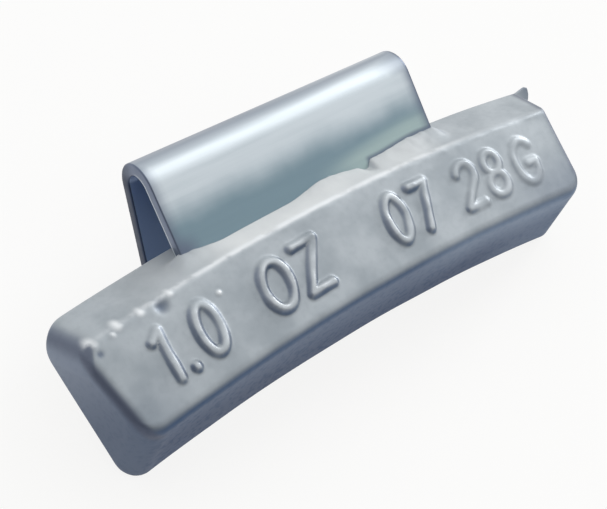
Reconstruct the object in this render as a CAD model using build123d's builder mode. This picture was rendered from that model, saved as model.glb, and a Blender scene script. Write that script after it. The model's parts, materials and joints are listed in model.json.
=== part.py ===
"""Clip-on wheel balance weight: a die-cast zinc body with a spring-steel rim clip cast into it.

The weight lies on its back, as it comes to rest on a bench: on the tip of the clip's back leg and
on the two lower corners of the body's back face. X runs along the body, Y runs along the bench
towards the clip, and Z points up from the bench. Lengths are millimetres and angles are degrees.
"""

import os
from math import asin, cos, degrees, hypot, radians, sin

from build123d import *

# Zinc body: corners of its cross-section, as depth in front of the back face
# and height above the lower back edge
back_height = 14.55
ridge_depth = 4.5
ridge_height = 12.1
foot_depth = 7.2
foot_height = 4.05

# Zinc body: length of its lower back edge, curve to suit the rim, and slope of the ends
body_length = 50.5
underside_radius = 203.0
end_draft = 9.1

# Zinc body: edges rounded in the mould. The gate end, at the right, has a sharp top edge
shoulder_radius = 2.4
toe_radius = 2.0
face_edge_radius = 1.0

# Spring clip: strip, front leg cast into the body, crown over the rim edge, and back leg
clip_width = 28.3
clip_thickness = 1.1
leg_setback = 1.25
leg_foot_height = 5.3
crown_radius = 1.4
crown_height = 19.2
leg_spread = 26.5
back_leg_length = 10.4
tip_corner_radius = 2.0

# Spring clip: holes in the buried leg, which the zinc fills as keys
anchor_hole_diameter = 3.0
anchor_hole_height = 8.6
anchor_hole_spacing = 9.0
anchor_hole_count = 3

# Casting marks: zinc standing higher against one part of the clip, and a fin of flash
# on the back edge of the gate end
collar_start = 6.3
collar_rise = 0.45
collar_run = 1.6
collar_sink = 0.5
fin_reach = 1.6
fin_lift = 0.05
fin_drop = 1.1
fin_height = 3.0
fin_root = 1.6
fin_thickness = 0.4
fin_corner_radius = 0.4

# Rest on the bench: the line from the lower back corners to the outer edge of the clip's tip
half_angle = asin(body_length / 2 / underside_radius)
toe_centre_radius = underside_radius + toe_radius
toe_angle = half_angle - asin(toe_radius / toe_centre_radius)
corner_height = toe_centre_radius * cos(toe_angle) - toe_centre_radius
crown_depth = leg_setback - crown_radius
crown_outer_radius = crown_radius + clip_thickness
spread = radians(leg_spread)
tip_depth = crown_depth - crown_outer_radius * cos(spread) - back_leg_length * sin(spread)
tip_height = crown_height + crown_outer_radius * sin(spread) - back_leg_length * cos(spread)
rest_rise = tip_height - corner_height
forward = Vector(0, tip_depth, rest_rise) / hypot(tip_depth, rest_rise)

# Drawing planes: the cross-section (depth, height) and the back face (along, height)
section_plane = Plane(origin=(0, 0, 0), x_dir=forward, z_dir=(-1, 0, 0))
back_plane = Plane(origin=(0, 0, 0), x_dir=(1, 0, 0), z_dir=forward)
depth_axis = Axis((0, 0, 0), forward)
height_axis = Axis((0, 0, 0), section_plane.y_dir)
wheel_axis = Axis(section_plane.from_local_coords((0, -underside_radius, 0)), forward)

# Spring clip: one strip bent over the crown, with rounded corners at its tip
with BuildPart() as clip:
    with BuildSketch(section_plane):
        with BuildLine():
            front_leg = Line((leg_setback, leg_foot_height), (leg_setback, crown_height))
            crown = JernArc(front_leg @ 1, front_leg % 1, crown_radius, 180 - leg_spread)
            PolarLine(crown @ 1, back_leg_length, direction=crown % 1)
            offset(amount=clip_thickness, side=Side.RIGHT)
        make_face()
    extrude(amount=clip_width / 2, both=True)
    with BuildSketch(back_plane.offset(leg_setback)):
        with Locations((0, anchor_hole_height)):
            with GridLocations(anchor_hole_spacing, 0, anchor_hole_count, 1):
                Circle(anchor_hole_diameter / 2)
    extrude(amount=clip_thickness, mode=Mode.SUBTRACT)
    tip_face = clip.faces().sort_by(Axis.Z)[0]
    fillet(tip_face.edges().filter_by(Axis.X, reverse=True), tip_corner_radius)

# Zinc body: its cross-section, run on behind the back face so that the rounded edges run out there
ridge = Vector(ridge_depth, ridge_height)
foot = Vector(foot_depth, foot_height)
bevel_slope = (ridge_height - back_height) / ridge_depth
underside_slope = foot_height / foot_depth
behind = -shoulder_radius

# Zinc body: one half swept round the wheel's axis and drafted at its end, then mirrored
with BuildPart() as weight_body:
    with BuildSketch(section_plane):
        with BuildLine():
            Polyline(
                (behind, underside_slope * behind),
                foot,
                ridge,
                (behind, back_height + bevel_slope * behind),
                close=True,
            )
        make_face()
    revolve(axis=wheel_axis, revolution_arc=degrees(half_angle))
    draft(weight_body.faces().sort_by(Axis.X)[0], back_plane, end_draft)
    mirror(about=section_plane)

    # Rounded edges: toes under both ends and a shoulder over the end away from the gate
    underside_edges = weight_body.faces().sort_by(height_axis)[0].edges().sort_by(Axis.X)
    fillet([underside_edges[0], underside_edges[-1]], toe_radius)
    bevel = weight_body.faces().sort_by(height_axis)[-1]
    fillet(bevel.edges().sort_by(Axis.X)[0], shoulder_radius)

    # Back face cut flat, and rounded edges all round the front face
    split(bisect_by=back_plane, keep=Keep.TOP)
    front_face = weight_body.faces().sort_by(depth_axis)[-1]
    fillet(front_face.edges(), face_edge_radius)

    # Collar of zinc against the clip, from its step to the clip's end
    leg_front = leg_setback + clip_thickness
    collar_base = back_height + bevel_slope * leg_front
    collar_foot = collar_base + bevel_slope * collar_run - collar_sink
    with BuildSketch(section_plane.offset(-collar_start)):
        with BuildLine():
            Polyline(
                (leg_front, collar_foot),
                (leg_front + collar_run, collar_foot),
                (leg_front, collar_base + collar_rise),
                close=True,
            )
        make_face()
    extrude(amount=collar_start - clip_width / 2)

    # Fin of flash standing out from the gate end along the mould's parting plane
    corner_radius = underside_radius + back_height
    fin_top = Vector(corner_radius * sin(half_angle), corner_radius * cos(half_angle) - underside_radius)
    fin_bottom = fin_top - Vector(sin(half_angle), cos(half_angle)) * fin_height
    with BuildSketch(back_plane) as fin_outline:
        with BuildLine():
            Polyline(
                fin_top + Vector(fin_reach, fin_lift),
                fin_top + Vector(fin_reach, -fin_drop),
                fin_bottom,
                fin_bottom - Vector(fin_root, 0),
                fin_top - Vector(fin_root, 0),
                close=True,
            )
        make_face()
        fillet(fin_outline.vertices().group_by(Axis.X)[-1], fin_corner_radius)
    extrude(amount=fin_thickness)

    # Pocket that the clip's front leg fills
    add(clip.part, mode=Mode.SUBTRACT)

# Origin under the middle of the weight, on the bench
resting_box = Compound([weight_body.part, clip.part]).bounding_box()
middle = resting_box.center()
to_bench = Location((-middle.X, -middle.Y, -resting_box.min.Z))

os.makedirs("parts", exist_ok=True)
for name, piece in (("weight_body", weight_body), ("clip", clip)):
    piece.part.move(to_bench)
    piece.part.label = name
    export_step(piece.part, f"parts/{name}.step")
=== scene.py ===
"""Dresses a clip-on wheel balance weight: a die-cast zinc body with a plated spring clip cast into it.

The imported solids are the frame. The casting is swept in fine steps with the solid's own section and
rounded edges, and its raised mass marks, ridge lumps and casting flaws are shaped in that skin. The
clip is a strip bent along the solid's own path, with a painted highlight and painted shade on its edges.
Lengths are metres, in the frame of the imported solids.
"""

import json
from math import cos, pi, radians, sin

import bmesh
import bpy
import numpy as np
from bpy.props import FloatProperty, FloatVectorProperty, PointerProperty, StringProperty
from mathutils import Euler, Matrix, Vector, noise


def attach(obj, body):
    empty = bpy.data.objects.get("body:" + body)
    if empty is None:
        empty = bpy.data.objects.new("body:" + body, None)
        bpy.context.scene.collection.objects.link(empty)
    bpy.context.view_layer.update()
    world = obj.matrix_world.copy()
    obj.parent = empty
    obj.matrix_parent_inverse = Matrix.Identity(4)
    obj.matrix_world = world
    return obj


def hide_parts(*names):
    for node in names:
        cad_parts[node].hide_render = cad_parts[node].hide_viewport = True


bl_info = {
    "name": "Wheel balance weight",
    "version": (1, 0, 0),
    "blender": (4, 5, 0),
    "location": "3D View > Sidebar > Weight",
    "description": "Dresses a clip-on wheel balance weight and its studio",
    "category": "Object",
}

MM = 0.001

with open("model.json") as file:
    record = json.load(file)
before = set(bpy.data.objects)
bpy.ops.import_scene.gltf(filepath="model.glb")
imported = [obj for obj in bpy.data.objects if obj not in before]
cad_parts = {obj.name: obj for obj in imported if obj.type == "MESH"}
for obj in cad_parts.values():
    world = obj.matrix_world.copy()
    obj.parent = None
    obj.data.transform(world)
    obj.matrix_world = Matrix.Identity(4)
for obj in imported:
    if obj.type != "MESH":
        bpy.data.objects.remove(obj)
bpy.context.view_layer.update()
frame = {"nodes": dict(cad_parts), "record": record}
crown = next(m for m in frame["record"]["mounts"] if m["name"] == "rim_clip")
bend_radius = crown["dims"]["r_mm"] * MM
clip_half_width = crown["dims"]["length_mm"] * MM / 2


# Settings

class CastingSettings(bpy.types.PropertyGroup):
    """Sizes and colours of the zinc body."""

    skin_cell: FloatProperty(
        name="Skin cell", description="Length of the skin's faces along the bar",
        default=0.13 * MM, min=0.1 * MM, precision=5, unit="LENGTH")
    length: FloatProperty(
        name="Length", description="Length of the lower back edge", default=50.5 * MM, unit="LENGTH")
    rim_radius: FloatProperty(
        name="Rim radius", description="Radius that the bar's underside is curved to",
        default=203 * MM, unit="LENGTH")
    end_draft: FloatProperty(
        name="End draft", description="Slope of the ends", default=radians(9.1), subtype="ANGLE")
    back_height: FloatProperty(
        name="Back height", description="Height of the back face", default=14.55 * MM, unit="LENGTH")
    ridge_depth: FloatProperty(
        name="Ridge depth", description="Depth of the ridge in front of the back face",
        default=4.5 * MM, unit="LENGTH")
    ridge_height: FloatProperty(
        name="Ridge height", description="Height of the ridge above the lower back edge",
        default=12.1 * MM, unit="LENGTH")
    foot_depth: FloatProperty(
        name="Foot depth", description="Depth of the front's lower edge in front of the back face",
        default=7.2 * MM, unit="LENGTH")
    foot_height: FloatProperty(
        name="Foot height", description="Height of the front's lower edge above the lower back edge",
        default=4.05 * MM, unit="LENGTH")
    shoulder_radius: FloatProperty(
        name="Shoulder radius", description="Rounding of the bevel's plain end",
        default=2.4 * MM, unit="LENGTH")
    gate_edge_radius: FloatProperty(
        name="Gate edge radius", description="Small rounding of the bevel's gate end",
        default=0.2 * MM, precision=6, unit="LENGTH")
    toe_radius: FloatProperty(
        name="Toe radius", description="Rounding of the underside's ends", default=2.0 * MM, unit="LENGTH")
    face_edge_radius: FloatProperty(
        name="Face edge radius", description="Rounding round the front face",
        default=1.0 * MM, unit="LENGTH")
    gate_face_radius: FloatProperty(
        name="Gate face radius", description="Rounding of the front face's edge at the gate end",
        default=0.6 * MM, unit="LENGTH")
    back_edge_radius: FloatProperty(
        name="Back edge radius", description="Small rounding round the back face",
        default=0.2 * MM, precision=6, unit="LENGTH")
    crown_height: FloatProperty(
        name="Crown height", description="Height of the clip's crown above the lower back edge",
        default=19.2 * MM, unit="LENGTH")
    crown_depth: FloatProperty(
        name="Crown depth", description="Depth of the clip's crown in front of the back face",
        default=-0.15 * MM, unit="LENGTH")
    hump_place: FloatProperty(
        name="Hump place", description="Where the zinc makes a low hump against the clip",
        default=1.3 * MM, unit="LENGTH")
    hump_reach: FloatProperty(
        name="Hump reach", description="How far the hump runs to either side",
        default=4.6 * MM, unit="LENGTH")
    hump_rise: FloatProperty(
        name="Hump rise", description="Height of the hump", default=0.55 * MM, precision=6, unit="LENGTH")
    notch_depth: FloatProperty(
        name="Notch depth", description="Depth of the notch between the hump and the bank",
        default=0.3 * MM, precision=6, unit="LENGTH")
    bank_start: FloatProperty(
        name="Bank start", description="Where the zinc steps up to a bank against the clip",
        default=6.1 * MM, unit="LENGTH")
    bank_step: FloatProperty(
        name="Bank step", description="Height of the bank at its start",
        default=0.38 * MM, precision=6, unit="LENGTH")
    bank_rise: FloatProperty(
        name="Bank rise", description="Height of the bank at the clip's end",
        default=0.86 * MM, precision=6, unit="LENGTH")
    corner_rise: FloatProperty(
        name="Corner rise", description="Height of the zinc against the clip's left corner",
        default=0.55 * MM, precision=6, unit="LENGTH")
    corner_reach: FloatProperty(
        name="Corner reach", description="How far the zinc at the left corner runs along the clip",
        default=4.5 * MM, unit="LENGTH")
    collar_run: FloatProperty(
        name="Collar run", description="How far the hump and the banks run down the bevel",
        default=1.6 * MM, unit="LENGTH")
    fin_reach: FloatProperty(
        name="Fin reach", description="How far the fin of flash stands out of the gate end",
        default=1.6 * MM, unit="LENGTH")
    fin_drop: FloatProperty(
        name="Fin drop", description="Height of the fin's outer edge", default=1.1 * MM, unit="LENGTH")
    fin_height: FloatProperty(
        name="Fin height", description="Height of the fin at its root", default=3.0 * MM, unit="LENGTH")
    fin_thickness: FloatProperty(
        name="Fin thickness", description="Thickness of the fin",
        default=0.4 * MM, precision=6, unit="LENGTH")
    swell: FloatProperty(
        name="Swell", description="Height of the slow waves in the cast faces",
        default=0.035 * MM, precision=6, unit="LENGTH")
    ridge_lump: FloatProperty(
        name="Ridge lumps", description="Height of the lumps along the ridge",
        default=0.07 * MM, precision=6, unit="LENGTH")
    mark_height: FloatProperty(
        name="Mark height", description="Height of the capitals and numbers",
        default=3.9 * MM, unit="LENGTH")
    mark_baseline: FloatProperty(
        name="Mark baseline", description="Height of the marks' foot above the lower back edge",
        default=6.35 * MM, unit="LENGTH")
    mark_lean: FloatProperty(
        name="Mark lean", description="How far the marks lean over for each part of their height",
        default=0.14)
    mark_stroke: FloatProperty(
        name="Mark stroke", description="Width of a stroke at its foot",
        default=1.3 * MM, unit="LENGTH")
    mark_crest: FloatProperty(
        name="Mark crest", description="Width of a stroke's flat crest", default=0.2 * MM, unit="LENGTH")
    mark_relief: FloatProperty(
        name="Mark relief", description="How far the strokes stand out of the face",
        default=0.42 * MM, precision=6, unit="LENGTH")
    ounces: StringProperty(name="Ounces", description="Mass mark in ounces", default="1.0")
    cavity: StringProperty(name="Cavity", description="Number of the mould's cavity", default="07")
    grams: StringProperty(name="Grams", description="Mass mark in grams", default="28")
    light_zinc: FloatVectorProperty(
        name="Light zinc", description="Colour of the bright parts of the cast skin",
        default=(0.49, 0.525, 0.55), size=3, min=0, max=1, subtype="COLOR")
    dull_zinc: FloatVectorProperty(
        name="Dull zinc", description="Colour of the dull parts of the cast skin",
        default=(0.36, 0.395, 0.422), size=3, min=0, max=1, subtype="COLOR")
    # Painted shade: the ends are darker than the front, and darker still towards their foot
    side_shade_zinc: FloatVectorProperty(
        name="Side zinc", description="Colour of the ends near the bevel, dark from the mould's walls",
        default=(0.28, 0.32, 0.395), size=3, min=0, max=1, subtype="COLOR")
    # Darker zinc for painted shade on the ends' foot, the front's lower corners, the pits, the fin and the
    # underside's left end
    deep_shade_zinc: FloatVectorProperty(
        name="Low zinc", description="Colour of the ends' lower part",
        default=(0.112, 0.146, 0.215), size=3, min=0, max=1, subtype="COLOR")
    # Painted shade on the underside: dark near the back face, lighter near the front and the gate end
    under_shade_zinc: FloatVectorProperty(
        name="Under zinc", description="Colour of the underside near the back face",
        default=(0.006, 0.042, 0.125), size=3, min=0, max=1, subtype="COLOR")
    under_light: FloatVectorProperty(
        name="Under light", description="Colour of the underside near the front",
        default=(0.195, 0.258, 0.36), size=3, min=0, max=1, subtype="COLOR")
    # Painted shade: dark bands on the rounded edges between the front and the ends
    edge_shade_zinc: FloatVectorProperty(
        name="Edge zinc", description="Colour of the dark rounded edges between the front and the ends",
        default=(0.105, 0.12, 0.17), size=3, min=0, max=1, subtype="COLOR")
    # Painted light: the bevel in front of the clip is painted brighter, and it is less metallic there
    bevel_light_zinc: FloatVectorProperty(
        name="Wiped zinc", description="Colour of the bevel where it is wiped bright in front of the clip",
        default=(0.84, 0.845, 0.835), size=3, min=0, max=1, subtype="COLOR")
    # Worn edges with painted highlight: the ridge's crest, the pips and the marks' crests
    rub_highlight_zinc: FloatVectorProperty(
        name="Burnished zinc", description="Colour of rubbed edges",
        default=(0.93, 0.945, 0.95), size=3, min=0, max=1, subtype="COLOR")


class ClipSettings(bpy.types.PropertyGroup):
    """Sizes and colours of the spring clip."""

    thickness: FloatProperty(
        name="Thickness", description="Thickness of the strip", default=1.1 * MM, unit="LENGTH")
    edge_radius: FloatProperty(
        name="Edge radius", description="Rounding of the strip's sheared edges",
        default=0.16 * MM, precision=6, unit="LENGTH")
    front_leg: FloatProperty(
        name="Front leg", description="Length of the leg in the zinc, from the crown down",
        default=13.9 * MM, unit="LENGTH")
    back_leg: FloatProperty(
        name="Back leg", description="Length of the free leg, from the crown down",
        default=10.4 * MM, unit="LENGTH")
    spread: FloatProperty(
        name="Spread", description="Angle between the two legs", default=radians(26.5), subtype="ANGLE")
    tip_radius: FloatProperty(
        name="Tip radius", description="Rounding of the free leg's corners", default=2.0 * MM, unit="LENGTH")
    anchor_diameter: FloatProperty(
        name="Anchor holes", description="Diameter of the holes that the zinc fills",
        default=3.0 * MM, unit="LENGTH")
    anchor_spacing: FloatProperty(
        name="Anchor spacing", description="Distance between the holes", default=9.0 * MM, unit="LENGTH")
    anchor_drop: FloatProperty(
        name="Anchor drop", description="Distance of the holes below the crown's axis",
        default=10.6 * MM, unit="LENGTH")
    plate: FloatVectorProperty(
        name="Plate", description="Colour of the plating",
        default=(0.73, 0.785, 0.815), size=3, min=0, max=1, subtype="COLOR")
    # Painted shade: the front leg turns darker and teal towards the zinc; the rolling lines take this colour
    # too
    plate_shade_and_lines: FloatVectorProperty(
        name="Plate foot", description="Colour of the plating near the zinc, tinted by the casting heat",
        default=(0.25, 0.345, 0.395), size=3, min=0, max=1, subtype="COLOR")
    plate_base: FloatVectorProperty(
        name="Plate base", description="Colour of the plating where the zinc has run against it",
        default=(0.44, 0.55, 0.54), size=3, min=0, max=1, subtype="COLOR")
    # Painted shade inside the bend
    plate_inside_shade: FloatVectorProperty(
        name="Plate inside", description="Colour of the plating inside the bend",
        default=(0.20, 0.28, 0.46), size=3, min=0, max=1, subtype="COLOR")
    # Painted shade on the free leg's edges and on the outer rounding of the right side
    clip_edge_shade: FloatVectorProperty(
        name="Shaded edge", description="Colour of the free leg's dull edges",
        default=(0.03, 0.042, 0.075), size=3, min=0, max=1, subtype="COLOR")
    # Cut edges, with painted shade over the crown's back, along the sides, in the crevice and at the leg's
    # foot corner
    sheared_and_shade: FloatVectorProperty(
        name="Sheared edge", description="Colour of the strip's broken edges and of its back",
        default=(0.17, 0.20, 0.27), size=3, min=0, max=1, subtype="COLOR")


class StudioSettings(bpy.types.PropertyGroup):
    """Floor, light and camera."""

    floor_size: FloatProperty(
        name="Floor size", description="Edge length of the floor", default=3.0, unit="LENGTH")
    floor: FloatVectorProperty(
        name="Floor", description="Colour of the floor",
        default=(0.98, 0.98, 0.98), size=3, min=0, max=1, subtype="COLOR")
    floor_white: FloatProperty(
        name="Floor white", description="How much of the floor the camera and reflections see as plain white",
        default=0.84, min=0, max=1, subtype="FACTOR")
    sky: FloatVectorProperty(
        name="Sky", description="Colour of the room's light",
        default=(0.95, 0.975, 1.0), size=3, min=0, max=1, subtype="COLOR")
    sky_bright: FloatProperty(
        name="Bright side", description="Level of the room's light on its bright side", default=0.88, min=0)
    sky_dark: FloatProperty(
        name="Dark side", description="Level of the room's light on its dark side", default=0.24, min=0)
    sky_direction: FloatVectorProperty(
        name="Bright direction", description="Where the room is brightest, seen from the weight",
        default=(0.45, 0.55, 0.70), size=3, subtype="DIRECTION")
    softbox_size: FloatProperty(
        name="Softbox size", description="Edge length of the softbox", default=0.3, unit="LENGTH")
    softbox_distance: FloatProperty(
        name="Softbox distance", description="Distance of the softbox", default=0.43, unit="LENGTH")
    softbox_direction: FloatVectorProperty(
        name="Softbox direction", description="Where the softbox stands, seen from the weight",
        default=(0.49, 0.25, 0.83), size=3, subtype="DIRECTION")
    softbox_power: FloatProperty(
        name="Softbox power", description="Power of the softbox", default=0.14, min=0, unit="POWER")
    side_direction: FloatVectorProperty(
        name="Side direction", description="Where the side softbox stands, seen from the weight",
        default=(0.92, 0.25, 0.30), size=3, subtype="DIRECTION")
    side_size: FloatProperty(
        name="Side size", description="Edge length of the side softbox", default=0.3, unit="LENGTH")
    side_distance: FloatProperty(
        name="Side distance", description="Distance of the side softbox", default=1.0, unit="LENGTH")
    side_power: FloatProperty(
        name="Side power", description="Power of the side softbox", default=3.4, min=0, unit="POWER")
    camera_place: FloatVectorProperty(
        name="Camera place", description="Camera along the bar, up its back face and forward of it",
        default=(-53.127 * MM, 23.261 * MM, 87.789 * MM), size=3, subtype="TRANSLATION")
    camera_turn: FloatVectorProperty(
        name="Camera turn", description="Turns of the camera about the bar's three directions",
        default=(radians(-9.6328), radians(-29.7131), radians(-27.9598)), size=3, subtype="EULER")
    lens: FloatProperty(
        name="Lens", description="Focal length for a 36 mm sensor", default=69.73, unit="CAMERA")


# Directions of the bar

def bar_matrix(casting):
    """Places the bar's directions: along it, up its back face and forward of it, from its lower back edge."""
    mesh = frame["nodes"]["weight_body"].data
    normals = np.empty(len(mesh.polygons) * 3)
    areas = np.empty(len(mesh.polygons))
    mesh.polygons.foreach_get("normal", normals)
    mesh.polygons.foreach_get("area", areas)
    # The back face is the largest flat face of the solid
    ways, members = np.unique(normals.reshape(-1, 3).round(3), axis=0, return_inverse=True)
    back = Vector(ways[np.bincount(members.ravel(), areas).argmax()]).normalized()
    along = Vector((1, 0, 0))
    forward = -back
    up = forward.cross(along)
    origin = Vector(crown["pos_m"]) - up * casting.crown_height - forward * casting.crown_depth
    turn = Matrix((along, up, forward)).transposed()
    return Matrix.Translation(origin) @ turn.to_4x4()


def to_bar(bar, points):
    """Places of points in the bar's own directions, one row each."""
    return (points - np.array(bar.translation)) @ np.array(bar.to_3x3())


def half_angle(casting):
    """Angle that half of the bar takes up on the rim."""
    return np.arcsin(casting.length / 2 / casting.rim_radius)


def leg_depths(casting, clip):
    """Depths of the front leg's inner and outer face."""
    inner = casting.crown_depth + bend_radius
    return inner, inner + clip.thickness


# Relief and wear

def bump(distance, reach, crest=0.0):
    """Bank that is 1 as far as its crest and falls smoothly to 0 at the reach."""
    return 0.5 + 0.5 * np.cos(pi * np.clip((distance - crest) / (reach - crest), 0, 1))


def ramp(values, low, high):
    """Share that goes straight from 0 at the low value to 1 at the high one."""
    return np.clip((values - low) / (high - low), 0, 1)


def trend(places, stops):
    """Share that changes with the place, from stops in millimetres and the share at each."""
    return np.interp(places, np.array(stops[0]) * MM, stops[1])


def ripples(points, size):
    """Waves between -1 and 1 with features of the given size."""
    return np.array([noise.noise(Vector(point) / size) for point in points])


# Raised marks

# Gap between the marks, their ragged outline, their worn spots, and their relief along the bar
MARK_GAP = 1.25 * MM
RAGGED_RISE = 0.07 * MM
RAGGED_SIZE = 1.6 * MM
SPOT_SIZE = 2.0 * MM
SPOT_SHARE = 0.75
SPOT_RANGE = (0.35, 1.2)
MARK_LEVEL = ((-22, -16, -10, 5, 12, 22), (0.7, 0.95, 1.1, 1.0, 0.65, 0.45))


def oval(centre, half_width, half_height, start=0, end=360, steps=28):
    """Points on part of an ellipse, between two angles in degrees."""
    angles = np.radians(np.linspace(start, end, steps))
    return [(centre[0] + half_width * cos(a), centre[1] + half_height * sin(a)) for a in angles]


def stroke_font():
    """Widths and strokes of the marks, as parts of their height."""
    return {
        "1": (0.22, [[(0.0, 0.86), (0.2, 1.0), (0.2, 0.0)]]),
        ".": (0.1, [[(0.05, 0.02), (0.05, 0.03)]]),
        "0": (0.5, [oval((0.25, 0.5), 0.25, 0.5)]),
        "O": (0.66, [oval((0.33, 0.5), 0.33, 0.5)]),
        "Z": (0.58, [[(0.0, 1.0), (0.58, 1.0), (0.0, 0.0), (0.58, 0.0)]]),
        "2": (0.52, [oval((0.26, 0.73), 0.26, 0.27, 165, -35, 16) + [(0.0, 0.0), (0.52, 0.0)]]),
        "7": (0.5, [[(0.0, 1.0), (0.5, 1.0), (0.14, 0.0)]]),
        "8": (0.52, [oval((0.26, 0.76), 0.22, 0.24), oval((0.26, 0.26), 0.26, 0.26)]),
        "G": (0.62, [oval((0.33, 0.5), 0.33, 0.5, 48, 325) + [(0.62, 0.44), (0.36, 0.44)]]),
    }


def mark_strokes(words, casting):
    """Ends of the straight pieces of every stroke, along the bar and up it."""
    font = stroke_font()
    height = casting.mark_height
    starts, ends = [], []
    for word, place in words:
        pen = place
        for letter in word:
            width, strokes = font[letter]
            for stroke in strokes:
                points = [(pen + (x + casting.mark_lean * y) * height, casting.mark_baseline + y * height)
                          for x, y in stroke]
                starts += points[:-1]
                ends += points[1:]
            pen += width * height + MARK_GAP
    return np.array(starts), np.array(ends)


def stroke_distance(points, starts, ends):
    """Distance of each point from the nearest stroke."""
    nearest = np.full(len(points), np.inf)
    for start, end in zip(starts, ends):
        run = end - start
        share = np.clip((points - start) @ run / (run @ run), 0, 1)
        nearest = np.minimum(nearest, np.linalg.norm(points - start - share[:, None] * run, axis=1))
    return nearest


# Meshes

def coordinates(mesh):
    """Vertex places of a mesh, one row each."""
    points = np.empty(len(mesh.vertices) * 3)
    mesh.vertices.foreach_get("co", points)
    return points.reshape(-1, 3)


def directions(mesh):
    """Vertex normals of a mesh, one row each."""
    normals = np.empty(len(mesh.vertices) * 3)
    mesh.vertex_normals.foreach_get("vector", normals)
    return normals.reshape(-1, 3)


def keep_values(mesh, name, values):
    """Keeps one value for each vertex, for the material to read."""
    mesh.attributes.new(name, "FLOAT", "POINT").data.foreach_set("value", values.astype(np.float32))


def add_piece(name, mesh, material):
    """Shows a mesh as a piece of the weight."""
    piece = bpy.data.objects.new(name, mesh)
    bpy.context.scene.collection.objects.link(piece)
    mesh.materials.clear()
    mesh.materials.append(material)
    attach(piece, "root")
    return piece


def applied_mesh(piece):
    """Mesh of an object with its modifiers applied."""
    bpy.context.view_layer.update()
    seen = piece.evaluated_get(bpy.context.evaluated_depsgraph_get())
    return bpy.data.meshes.new_from_object(seen)


def closed_mesh(name, rings):
    """Closed mesh through rings of points, with its first and last ring filled."""
    shape = bmesh.new()
    made = [[shape.verts.new(point) for point in ring] for ring in rings]
    count = len(made[0])
    for first, second in zip(made, made[1:]):
        for k in range(count):
            n = (k + 1) % count
            shape.faces.new((first[k], first[n], second[n], second[k]))
    shape.faces.new(made[0][::-1])
    shape.faces.new(made[-1])
    bmesh.ops.recalc_face_normals(shape, faces=shape.faces)
    mesh = bpy.data.meshes.new(name)
    shape.to_mesh(mesh)
    shape.free()
    return mesh


def combined(mesh, others, operation):
    """Mesh with other closed meshes joined to it or cut from it."""
    draft = bpy.data.objects.new("draft", mesh)
    bpy.context.scene.collection.objects.link(draft)
    helpers = []
    for other in others:
        helper = bpy.data.objects.new("helper", other)
        bpy.context.scene.collection.objects.link(helper)
        helpers.append(helper)
        step = draft.modifiers.new(operation, "BOOLEAN")
        step.operation = operation
        step.solver = "EXACT"
        step.object = helper
    made = applied_mesh(draft)
    for helper in helpers + [draft]:
        bpy.data.objects.remove(helper)
    return made


def soft_shading(mesh, angle=40):
    """Shades a mesh smoothly, except across edges sharper than the angle in degrees."""
    mesh.shade_smooth()
    mesh.set_sharp_from_angle(angle=radians(angle))


# Casting

# Rings at the bar's rounded ends, and the sizes of the rings that close them
ROUND_STEPS = 18
CAP_SHARES = np.linspace(0.04, 0.96, 16)
# Fin of flash: how far its root lies in the bar, its back, its rounding, its outer corners from its reach
# and its top, and how far its lowest outer corner lies inside its reach
FIN_ROOT = np.array((0.9 * MM, 0.25 * MM))
FIN_BACK = 0.02 * MM
FIN_EDGE = 0.12 * MM
FIN_CORNERS = ((-0.35 * MM, 0.05 * MM), (0.0, -0.15 * MM), (-0.1 * MM, -0.7 * MM))
FIN_SLANT = 0.3 * MM


def inset(distance, radius):
    """How far a rounded edge has drawn a side in, at a distance from the end of the bar."""
    left = np.clip(radius - distance, 0, radius)
    return radius - np.sqrt(radius ** 2 - left ** 2)


def section_rings(casting, insets):
    """Cross-sections as rings of points (depth, height), with their sides drawn in and corners rounded."""
    corners = np.array((
        (0, 0),
        (0, casting.back_height),
        (casting.ridge_depth, casting.ridge_height),
        (casting.foot_depth, casting.foot_height),
    ))
    runs = np.roll(corners, -1, axis=0) - corners
    outward = np.column_stack((-runs[:, 1], runs[:, 0])) / np.linalg.norm(runs, axis=1)[:, None]
    levels = (outward * corners).sum(axis=1) - insets
    radii = (casting.back_edge_radius, casting.back_edge_radius,
             casting.face_edge_radius, casting.face_edge_radius)
    arc_steps = (4, 4, 9, 9)
    side_steps = (30, 28, 68, 28)
    arcs = []
    count = len(corners)
    for k in range(count):
        pair = [k - 1, k]
        centres = (levels[:, pair] - radii[k]) @ np.linalg.inv(outward[pair]).T
        first = np.arctan2(outward[k - 1, 1], outward[k - 1, 0])
        turn = (np.arctan2(outward[k, 1], outward[k, 0]) - first) % (2 * pi) - 2 * pi
        angles = first + turn * np.linspace(0, 1, arc_steps[k])
        arc = np.column_stack((np.cos(angles), np.sin(angles))) * radii[k]
        arcs.append(centres[:, None, :] + arc[None, :, :])
    parts = []
    for k in range(count):
        share = np.linspace(0, 1, side_steps[k])[None, 1:-1, None]
        start = arcs[k][:, -1:, :]
        end = arcs[(k + 1) % count][:, :1, :]
        parts += [arcs[k], start + (end - start) * share]
    return np.concatenate(parts, axis=1)


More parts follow.
